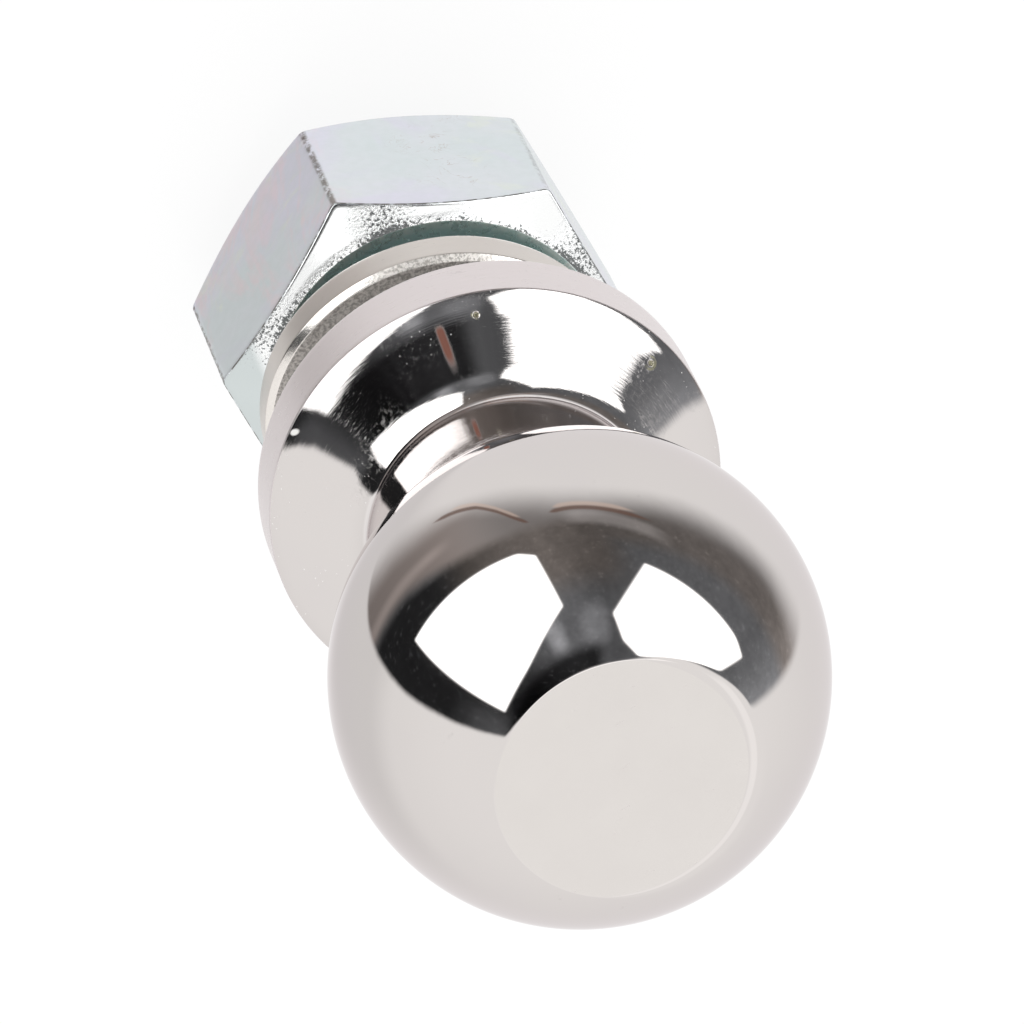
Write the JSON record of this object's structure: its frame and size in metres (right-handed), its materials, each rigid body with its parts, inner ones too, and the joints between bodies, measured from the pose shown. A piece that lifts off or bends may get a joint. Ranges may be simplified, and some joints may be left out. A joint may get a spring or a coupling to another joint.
{
  "type": "threaded tow ball",
  "caption": "Chromed tow ball on a necked, coned flange and threaded shank, with a split lock washer and hex nut.",
  "frame": {"origin": "centre of the shank's flat end, on which the part stands", "axes": "+Z along the shank towards the ball's flat top; -Y towards the side that the picture shows"},
  "size_m": [0.0476, 0.0476, 0.1158],
  "materials": {
    "chromed_steel": "mirror on the ball, neck and cone, satin on the flange rim",
    "plated_washer": "satin",
    "zinc_plate": "bright blue-white zinc"
  },
  "bodies": {
    "stud_body": {"ball_stud": "chromed_steel"},
    "washer_body": {"lock_washer": "plated_washer"},
    "nut_body": {"hex_nut": "zinc_plate"}
  },
  "joints": [
    {"name": "washer_travel", "type": "slide", "parent": "stud_body", "child": "washer_body", "axis": [0, 0, 1], "range_m": [-0.00908, 0.00817]},
    {"name": "nut_spin", "type": "hinge", "parent": "washer_body", "child": "nut_body", "pos_m": [0, 0, 0.0201], "axis": [0, 0, 1], "range_deg": [-1800, 1620]}
  ],
  "couplings": [
    {"joint": "washer_travel", "follows": "nut_spin", "m_per_rad": 0.00028875}
  ]
}
